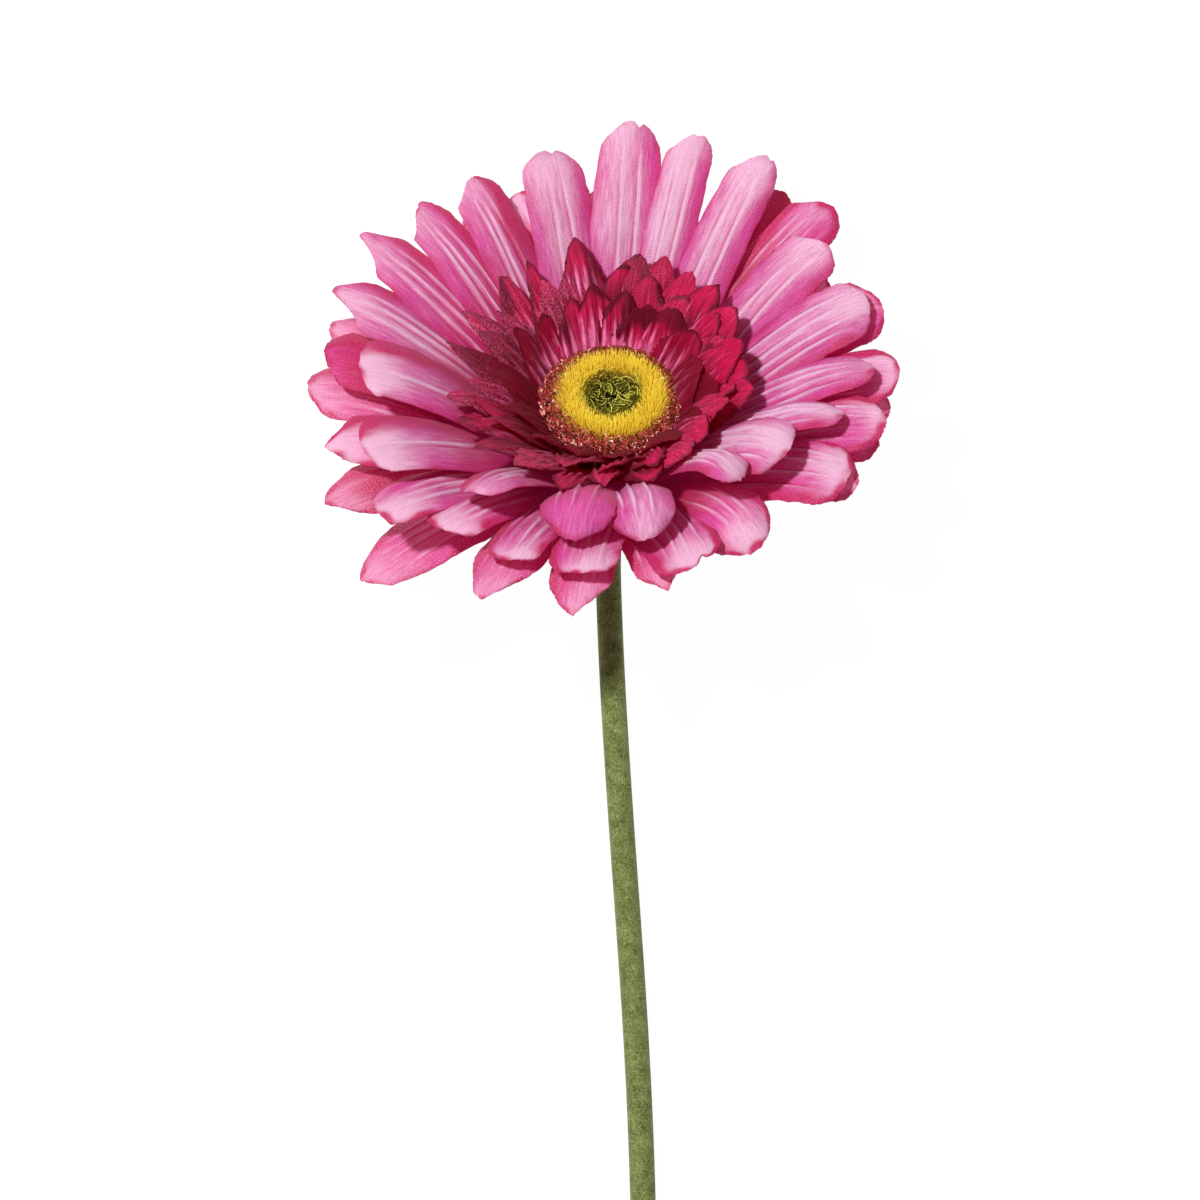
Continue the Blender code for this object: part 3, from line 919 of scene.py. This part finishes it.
# The rim of the covered layers, which is to one side or the other.
DEEP_MARGIN = 0.9
# Each ray's noise is this far from the last one's.
SEED_STEP = 1.31


def add_rays(material):
    names = sorted(name for name in frame["nodes"] if "_petal_" in name)
    for number, name in enumerate(names):
        azimuth, sizes = measure_petal(name)
        layer = name.rsplit("_", 1)[0]
        # The covered layers have a deep margin on the side towards the top of the head.
        deep = 0.0 if layer == "upper_petal" else DEEP_MARGIN
        rim = math.copysign(deep, math.cos(math.radians(azimuth)))
        blade = PLAIN_BLADE | sizes | {"rim": rim} | LAYER_STYLES[layer] | RAY_STYLES.get(name, {})
        builder = new_builder()
        add_blade(builder, blade, azimuth + blade["swing"], SEED + number * SEED_STEP)
        ray = blades_object(name.replace("petal", "ray"), builder, material, blade["thickness"])
        claim(ray, "ray_cloth", name)


# ---------------------------------------------------------------------------------------------
# Frills
# ---------------------------------------------------------------------------------------------

FRILL_BLADE = PLAIN_BLADE | {
    "width": 12.0, "base": 0.5, "fill": 0.55, "curl": 0.0, "cup": 0.9, "shoulder": 0.6, "skew": 0.0,
    "creases": (-0.45, -0.1, 0.3, 0.6), "crease_depth": 0.5, "teeth": 13, "tooth": 0.14, "ripple": 0.9,
    "rows": 60, "pale_and_painted_sheen_span": (0.85, 0.45), "tip_highlight": 0.0, "thickness": 0.24,
}

# Azimuths of each frill's strips, anticlockwise, with the mean reach, tip height and root height.
FRILLS = {
    "frill_outer": (
        (
            0, 14, 28, 44, 58, 69, 83, 103, 121, 136, 151, 167, 188, 205, 221, 237, 253, 268, 284, 300,
            316, 332, 347,
        ),
        30.2, 10.8, -10.2,
    ),
    "frill_middle": (
        (
            8, 22, 36, 52, 70, 87, 107, 122, 140, 160, 178, 197, 214, 232, 250, 269, 288, 306, 323, 341,
            355,
        ),
        25.8, 9.4, -9.1,
    ),
    "frill_inner": (
        (10, 30, 48, 65, 82, 98, 115, 133, 150, 168, 186, 206, 226, 247, 268, 289, 309, 330, 350),
        21.0, 7.8, -8.0,
    ),
}
# The frills sit a little to the left.
FRILL_LEAN = 1.8
# The rays on this side press the frill's strips in.
TUCKED_SIDE = 322.0
FRILL_TUCK = {"frill_outer": 2.6, "frill_middle": 1.2, "frill_inner": 0.0}
# One strip of the outer frill stands tall at the back and takes pale dye and painted sheen towards its
# base.
TALL_STRIP = 103
TALL_STYLE = {
    "wide": 1.0, "twist": 0.0, "sweep": 0.0, "point": 0.6, "pale_and_painted_sheen": 1.1, "pale_and_painted_sheen_span": (0.9, 0.62),
    "chalk": 0.1, "edge": 0.6, "root_dye_and_shade": 0.0,
}
TALL_REACH = 2.6


def add_frills(material):
    draw = random.Random(SEED)
    for name, (azimuths, reach, rise, root_z) in FRILLS.items():
        builder = new_builder()
        for number, azimuth in enumerate(azimuths):
            right = math.cos(math.radians(azimuth))
            top = max(0.0, math.sin(math.radians(azimuth)))
            tucked = max(0.0, math.cos(math.radians(azimuth - TUCKED_SIDE))) ** 2
            # Strips at the top are painted paler (painted sheen) and those on the right deeper (painted
            # shade).
            blade = FRILL_BLADE | {
                "root_z": root_z,
                "reach": reach - FRILL_LEAN * right - FRILL_TUCK[name] * tucked + draw.uniform(-1.6, 1.6),
                "rise": rise + draw.uniform(-1.2, 1.0),
                "wide": draw.uniform(0.8, 1.15) + 0.2 * max(0.0, right),
                "point": draw.uniform(0.35, 0.8) * (1.0 - 0.4 * max(0.0, right)),
                "louvre": draw.uniform(4.0, 14.0),
                "twist": draw.uniform(-20.0, 20.0),
                "sweep": draw.uniform(-2.0, 2.0),
                "arch": draw.uniform(-2.2, 0.2),
                "pale_and_painted_sheen": draw.uniform(0.2, 1.1) * (0.25 + 0.75 * top),
                "edge": draw.uniform(0.3, 1.0),
                "root_dye_and_shade": draw.uniform(0.1, 1.1) + 0.1 * right,
                "chalk": draw.uniform(0.0, 0.8) * (1.5 - right) / 2.0,
                "root_dye_and_shade_end": 1.0 - 0.1 * right,
                "dark_tip": draw.uniform(0.0, 0.9) * (1.1 - right) / 2.1,
            }
            if name == "frill_inner":
                # The inner frill is painted pale at the top (painted sheen) and deep elsewhere, most on the
                # left (painted shade).
                blade |= {"pale_and_painted_sheen": 0.2 + 0.8 * top, "root_dye_and_shade": 1.0 - top - 0.15 * right, "chalk": 0.0}
                blade |= {"root_dye_and_shade_end": 1.3, "dark_tip": 0.7 * top}
            if azimuth == TALL_STRIP:
                blade |= TALL_STYLE | {"reach": reach + TALL_REACH, "rise": rise}
            turn = azimuth + draw.uniform(-2.5, 2.5)
            add_blade(builder, blade, turn, SEED + 40.0 * draw.random() + number)
        piece_name = name.replace("frill", "cloth_frill")
        frill = blades_object(piece_name, builder, material, FRILL_BLADE["thickness"])
        claim(frill, "frill_cloth", name)


# ---------------------------------------------------------------------------------------------
# Things that repeat: grown by Geometry Nodes
# ---------------------------------------------------------------------------------------------

TONE_SEED = 99


class Growth:
    """A Geometry Nodes tree with named sizes, run once on a piece and turned into a plain mesh."""

    def __init__(self, name):
        self.tree = bpy.data.node_groups.new(name, "GeometryNodeTree")
        self.tree.interface.new_socket("Geometry", in_out="INPUT", socket_type="NodeSocketGeometry")
        self.tree.interface.new_socket("Geometry", in_out="OUTPUT", socket_type="NodeSocketGeometry")
        self.graph = Graph(self.tree)
        self.values = {}
        self.entry = None

    def size(self, name, value):
        """A named input of the tree. All of them are made before the first node."""
        whole = isinstance(value, int)
        kind = "NodeSocketInt" if whole else "NodeSocketFloat"
        socket = self.tree.interface.new_socket(name, in_out="INPUT", socket_type=kind)
        self.values[socket.identifier] = value

    def inputs(self):
        if self.entry is None:
            self.entry = self.graph.node("NodeGroupInput")
        return self.entry

    def named(self, name):
        return Wire(self.graph, self.inputs().outputs[name])

    def random(self, low, high, seed):
        inputs = {2: low, 3: high, "Seed": seed}
        return self.graph.wire("FunctionNodeRandomValue", 1, {"data_type": "FLOAT"}, inputs)

    def random_vector(self, low, high, seed):
        inputs = {0: low, 1: high, "Seed": seed}
        return self.graph.wire("FunctionNodeRandomValue", 0, {"data_type": "FLOAT_VECTOR"}, inputs)

    def random_turn(self, lean, seed):
        """A rotation that leans up to lean and spins freely."""
        vector = self.random_vector((-lean, -lean, 0.0), (lean, lean, math.tau), seed)
        return self.graph.wire("FunctionNodeEulerToRotation", 0, None, {0: vector})

    def finish(self, instances, material):
        """Stores each copy's random tone, makes the copies real and gives them their material."""
        graph = self.graph
        tone = self.random(0.0, 1.0, TONE_SEED)
        stored = graph.node(
            "GeometryNodeStoreNamedAttribute", {"data_type": "FLOAT", "domain": "INSTANCE"},
            {"Geometry": instances, "Name": "tone", "Value": tone},
        )
        real = graph.node("GeometryNodeRealizeInstances", None, {0: stored.outputs[0]})
        painted = graph.node(
            "GeometryNodeSetMaterial", None, {"Geometry": real.outputs[0], "Material": material}
        )
        graph.node("NodeGroupOutput", None, {0: painted.outputs[0]})

    def grow(self, seat, name):
        """Runs the tree on the seat's mesh and returns the result as a plain piece."""
        modifier = seat.modifiers.new(name, "NODES")
        modifier.node_group = self.tree
        for identifier, value in self.values.items():
            modifier[identifier] = value
        evaluated = seat.evaluated_get(bpy.context.evaluated_depsgraph_get())
        mesh = bpy.data.meshes.new_from_object(evaluated)
        seat.modifiers.remove(modifier)
        mesh.name = name
        return place_object(name, mesh)


# The most points to a square metre, which the spacing then thins out.
BRISTLE_DENSITY = 4.0e7
LOOSE_DENSITY = 2.0e7


def scattered(growth, shape, density, seeds, lean, scale):
    """Copies of a shape strewn over the seat, standing on it at random leans. seeds are for the
    copies' places and for their leans."""
    graph = growth.graph
    points = graph.node(
        "GeometryNodeDistributePointsOnFaces", {"distribute_method": "POISSON"},
        {
            "Mesh": growth.inputs().outputs[0], "Distance Min": growth.named("Spacing"),
            "Density Max": density, "Seed": seeds[0],
        },
    )
    turn = graph.wire(
        "FunctionNodeRotateRotation", 0, {"rotation_space": "LOCAL"},
        {0: points.outputs["Rotation"], 1: growth.random_turn(lean, seeds[1])},
    )
    placed = graph.node(
        "GeometryNodeInstanceOnPoints", None,
        {
            "Points": points.outputs["Points"], "Instance": shape.outputs[0], "Rotation": turn,
            "Scale": scale,
        },
    )
    return placed.outputs[0]


def bristle_growth(material, spacing, length, radius, lean):
    """Straight pile, all but upright."""
    growth = Growth("bristles")
    growth.size("Spacing", spacing * MM)
    growth.size("Length", length * MM)
    growth.size("Radius", radius * MM)
    graph = growth.graph
    bristle = graph.node(
        "GeometryNodeMeshCone", {"fill_type": "NGON"},
        {
            "Vertices": 4, "Side Segments": 1, "Radius Top": growth.named("Radius") * 0.7,
            "Radius Bottom": growth.named("Radius"), "Depth": growth.named("Length"),
        },
    )
    lengths = {0: 1.0, 1: 1.0, 2: growth.random(0.75, 1.1, SEED + 2)}
    stretch = graph.wire("ShaderNodeCombineXYZ", 0, None, lengths)
    seeds = (SEED, SEED + 1)
    growth.finish(scattered(growth, bristle, BRISTLE_DENSITY, seeds, lean, stretch), material)
    return growth


CRUMB_LEAN = 1.2


def crumb_growth(material, spacing, size):
    """Small uneven lumps."""
    growth = Growth("crumbs")
    growth.size("Spacing", spacing * MM)
    growth.size("Crumb size", size * MM)
    crumb = growth.graph.node(
        "GeometryNodeMeshIcoSphere", None, {"Radius": growth.named("Crumb size") * 0.5, "Subdivisions": 1}
    )
    stretch = growth.random_vector((0.4, 0.4, 0.5), (1.1, 1.0, 1.9), SEED + 4)
    seeds = (SEED + 3, SEED + 5)
    growth.finish(scattered(growth, crumb, LOOSE_DENSITY, seeds, CRUMB_LEAN, stretch), material)
    return growth


def curled_growth(material, spacing, size, thickness, lean):
    """Short curled threads lying about on the seat."""
    growth = Growth("curled threads")
    growth.size("Spacing", spacing * MM)
    growth.size("Curl radius", size * MM)
    growth.size("Thread radius", thickness * MM)
    graph = growth.graph
    arc = graph.node(
        "GeometryNodeCurveArc", {"mode": "RADIUS"},
        {"Resolution": 6, "Radius": growth.named("Curl radius"), "Sweep Angle": 2.2},
    )
    ring = graph.node(
        "GeometryNodeCurvePrimitiveCircle", {"mode": "RADIUS"},
        {"Resolution": 3, "Radius": growth.named("Thread radius")},
    )
    thread = graph.node(
        "GeometryNodeCurveToMesh", None,
        {"Curve": arc.outputs[0], "Profile Curve": ring.outputs[0], "Fill Caps": True},
    )
    sizes = growth.random(0.6, 1.3, SEED + 8)
    seeds = (SEED + 6, SEED + 7)
    growth.finish(scattered(growth, thread, LOOSE_DENSITY, seeds, lean, sizes), material)
    return growth


# The band of crumbs spills out on this side of the disc, most at its outer edge, while its inner edge
# draws back a little. On the other side it draws in by SPILL_LEAST of that.
SPILL_SIDE = math.radians(224.0)
SPILL_BACK = 0.35
SPILL_LEAST = -0.3
SEAT_STEPS = 64


def turned_seat(section, spill):
    """A temporary open surface spun about the head's axis, for things to grow on."""
    bm = bmesh.new()
    rings = []
    inside = section[0][0]
    span = section[-1][0] - inside
    for radius, height in section:
        ring = []
        share = (radius - inside) / span
        spread = spill * ((1.0 + SPILL_BACK) * share - SPILL_BACK)
        for step in range(SEAT_STEPS):
            angle = math.tau * step / SEAT_STEPS
            wide = radius + spread * max(SPILL_LEAST, math.cos(angle - SPILL_SIDE))
            spot = Vector((wide * math.cos(angle), wide * math.sin(angle), height))
            ring.append(bm.verts.new(HEAD @ spot))
        rings.append(ring)
    for inner, outer in zip(rings, rings[1:]):
        for step in range(SEAT_STEPS):
            after = (step + 1) % SEAT_STEPS
            bm.faces.new((inner[step], outer[step], outer[after], inner[after]))
    return place_object("seat", mesh_from(bm, "seat"))


def grow_on(section, growth, name, spill=0.0):
    """Grows things on a turned seat, and takes the seat away."""
    seat = turned_seat(section, spill)
    grown = growth.grow(seat, name)
    bpy.data.objects.remove(seat, do_unlink=True)
    return grown


def join(name, *pieces):
    """Joins pieces into the first one and names it."""
    with bpy.context.temp_override(active_object=pieces[0], selected_editable_objects=list(pieces)):
        bpy.ops.object.join()
    pieces[0].name = name
    return pieces[0]


# The bristles stand on a domed ring: the radius of its middle, its half-width, the height of its top
# and the drop to its edges.
PILE_RADIUS = 8.3
PILE_HALF = 3.1
PILE_TOP = 0.5
PILE_DROP = 1.3
PILE_STEPS = 6
# Where each kind of fibre is rooted, from the inside out (radius, height).
BRISTLE_SEAT = [
    (
        PILE_RADIUS + PILE_HALF * step / PILE_STEPS,
        PILE_TOP - PILE_DROP * abs(step / PILE_STEPS) ** 2.5,
    )
    for step in range(-PILE_STEPS, PILE_STEPS + 1)
]
CRUMB_SEAT = ((10.8, 1.5), (12.2, 1.1), (13.8, 0.3), (15.0, -0.9), (15.5, -2.0))
CRUMB_UNDER_SEAT = ((11.6, -0.9), (13.4, -0.9), (14.8, -2.0))
CRUMB_SPILL = 2.0
NEST_SEAT = ((0.2, 0.4), (2.5, 0.6), (4.4, 1.0), (5.3, 1.4))
NEST_FLOOR_SEAT = ((0.2, -0.8), (3.0, -0.6), (5.4, -0.1))


def add_disc():
    bristle = bristle_material()
    pile = bristle_growth(bristle, spacing=0.19, length=2.7, radius=0.085, lean=0.2)
    claim(grow_on(BRISTLE_SEAT, pile, "bristle_pile"), "yellow_bristle", "bristle_ring")

    # The palest crumb colour, which a random few crumbs take, is a painted highlight.
    crumb = fibre_material(
        "red_crumb", colour(120, 30, 30), colour(200, 76, 74), colour(250, 206, 190),
        tip_from=0.8, low_z=-1.8, high_z=1.8,
    )
    small = crumb_growth(crumb, spacing=0.4, size=0.7)
    large = crumb_growth(crumb, spacing=0.5, size=1.3)
    lint = curled_growth(crumb, spacing=0.36, size=0.5, thickness=0.06, lean=1.3)
    crumbs = grow_on(CRUMB_SEAT, small, "crumbs_top", CRUMB_SPILL)
    under = grow_on(CRUMB_UNDER_SEAT, large, "crumbs_under", CRUMB_SPILL)
    fluff = grow_on(CRUMB_SEAT, lint, "crumb_fluff", CRUMB_SPILL)
    claim(join("crumb_band", crumbs, under, fluff), "red_crumb", "crumb_ring")

    fibre = fibre_material(
        "green_fibre", colour(8, 9, 3), colour(128, 124, 40), colour(214, 206, 84),
        tip_from=0.55, low_z=-0.6, high_z=1.9,
    )
    threads = curled_growth(fibre, spacing=0.4, size=1.6, thickness=0.075, lean=0.8)
    nest = grow_on(NEST_SEAT, threads, "nest_top")
    floor = grow_on(NEST_FLOOR_SEAT, crumb_growth(fibre, spacing=0.5, size=1.2), "nest_floor")
    claim(join("fibre_nest", nest, floor), "green_fibre", "centre_tuft")


# ---------------------------------------------------------------------------------------------
# Calyx and stem
# ---------------------------------------------------------------------------------------------

ROUNDING_LEVELS = 2


def rounded_copy(node, name, material):
    """A CAD node's shape as a smooth piece: merged, made of quads again and subdivided."""
    bm = bmesh.new()
    bm.from_mesh(frame["nodes"][node].data)
    bmesh.ops.remove_doubles(bm, verts=bm.verts, dist=1e-6)
    bmesh.ops.join_triangles(
        bm, faces=bm.faces, angle_face_threshold=math.radians(40),
        angle_shape_threshold=math.radians(60),
    )
    bmesh.ops.recalc_face_normals(bm, faces=bm.faces)
    mesh = mesh_from(bm, name)
    mesh.shade_smooth()
    set_material(mesh, material)
    piece = place_object(name, mesh)
    rounding = piece.modifiers.new("rounding", "SUBSURF")
    rounding.levels = ROUNDING_LEVELS
    rounding.render_levels = ROUNDING_LEVELS
    return piece


SEPAL_BLADE = PLAIN_BLADE | {
    "root_radius": 3.4, "root_z": -21.5, "reach": 15.0, "rise": -15.6, "width": 3.4, "base": 0.9,
    "fill": 0.3, "arch": -1.2, "curl": 0.0, "louvre": 8.0, "cup": 0.3, "shoulder": 0.55, "skew": 0.0,
    "point": 1.0, "creases": (0.0,), "crease_depth": 0.15, "ripple": 0.1, "rows": 16, "thickness": 0.5,
}
SEPALS = 16
# Every other sepal is shorter by this.
SEPAL_STEP = 2.5


def add_calyx(green):
    cup = rounded_copy("calyx_cup", "calyx_moulding", green)
    claim(cup, "flocked_green", "calyx_cup")
    builder = new_builder()
    for number in range(SEPALS):
        blade = SEPAL_BLADE | {"reach": SEPAL_BLADE["reach"] - SEPAL_STEP * (number % 2)}
        add_blade(builder, blade, 360.0 * number / SEPALS, SEED + number)
    sepals = blades_object("sepals", builder, green, SEPAL_BLADE["thickness"])
    claim(sepals, "flocked_green")


def add_stem(green):
    cover = rounded_copy("stem_sheath", "stem_cover", green)
    claim(cover, "flocked_green", "stem_sheath")


# ---------------------------------------------------------------------------------------------
# Stage
# ---------------------------------------------------------------------------------------------

# The width of what the camera sees, its height over the disc's middle, and the way from there to the
# point under the camera, in mm.
VIEW_WIDTH = 240.0
CAMERA_HEIGHT = 3000.0
AIM = (-2.4, -40.0)
# The key lamp, from the disc's middle, and its size, in metres; its power in watts.
KEY_PLACE = (-0.46, 0.45, 1.28)
KEY_SIZE = 0.12
KEY_POWER = 21.0
SKY_STRENGTH = 0.24
FLOOR_SIZE = 3.0
WHITE = (1.0, 1.0, 1.0, 1.0)


def add_camera():
    centre = HEAD @ Vector((0.0, 0.0, 0.0))
    data = bpy.data.cameras.new("camera")
    data.sensor_width = 36.0
    data.lens = data.sensor_width * CAMERA_HEIGHT / VIEW_WIDTH
    camera = place_object("camera", data)
    camera.location = centre + Vector((AIM[0], AIM[1], CAMERA_HEIGHT)) * MM
    bpy.context.scene.camera = camera


def add_key_lamp():
    data = bpy.data.lights.new("key", "AREA")
    data.shape = "DISK"
    data.size = KEY_SIZE
    data.energy = KEY_POWER
    lamp = place_object("key", data)
    lamp.location = HEAD @ Vector((0.0, 0.0, 0.0)) + Vector(KEY_PLACE)
    lamp.rotation_euler = (-Vector(KEY_PLACE)).to_track_quat("-Z", "Y").to_euler()


def add_floor():
    """A pale floor, lit from within so that it stays white under soft shadows."""
    material, graph = new_material("pale_floor")
    tone = graph.noise(object_coordinates(graph), 3.0, 2.0, 0.5)
    shader = graph.principled({
        "Base Color": graph.grey(0.08 + tone * 0.03), "Roughness": 0.9, "Specular IOR Level": 0.0,
        "Emission Color": WHITE, "Emission Strength": 0.97,
    })
    finish_material(graph, shader)
    bm = bmesh.new()
    bmesh.ops.create_grid(bm, x_segments=1, y_segments=1, size=FLOOR_SIZE)
    mesh = mesh_from(bm, "floor")
    set_material(mesh, material)
    place_object("floor", mesh)


def add_sky():
    world = bpy.data.worlds.new("studio")
    world.use_nodes = True
    sky = world.node_tree.nodes["Background"]
    sky.inputs["Color"].default_value = WHITE
    sky.inputs["Strength"].default_value = SKY_STRENGTH
    bpy.context.scene.world = world
    bpy.context.scene.view_settings.view_transform = "Standard"


def main():
    add_camera()
    add_floor()
    add_sky()
    add_key_lamp()
    ray_cloth = cloth_material("ray_cloth", RAY_TINTS, roughness=0.48, thinness=0.32)
    frill_cloth = cloth_material("frill_cloth", FRILL_TINTS, roughness=0.6, thinness=0.3)
    flock = flock_material(
        "flocked_green", colour(66, 70, 28), colour(122, 134, 74), colour(172, 180, 128)
    )
    add_rays(ray_cloth)
    add_frills(frill_cloth)
    add_disc()
    add_calyx(flock)
    add_stem(flock)
    nodes = frame["nodes"]
    set_material(nodes["stem_wire"].data, steel_material())
    set_material(nodes["disc_base"].data, plastic_material("disc_plastic", colour(150, 120, 60), 0.6))


main()
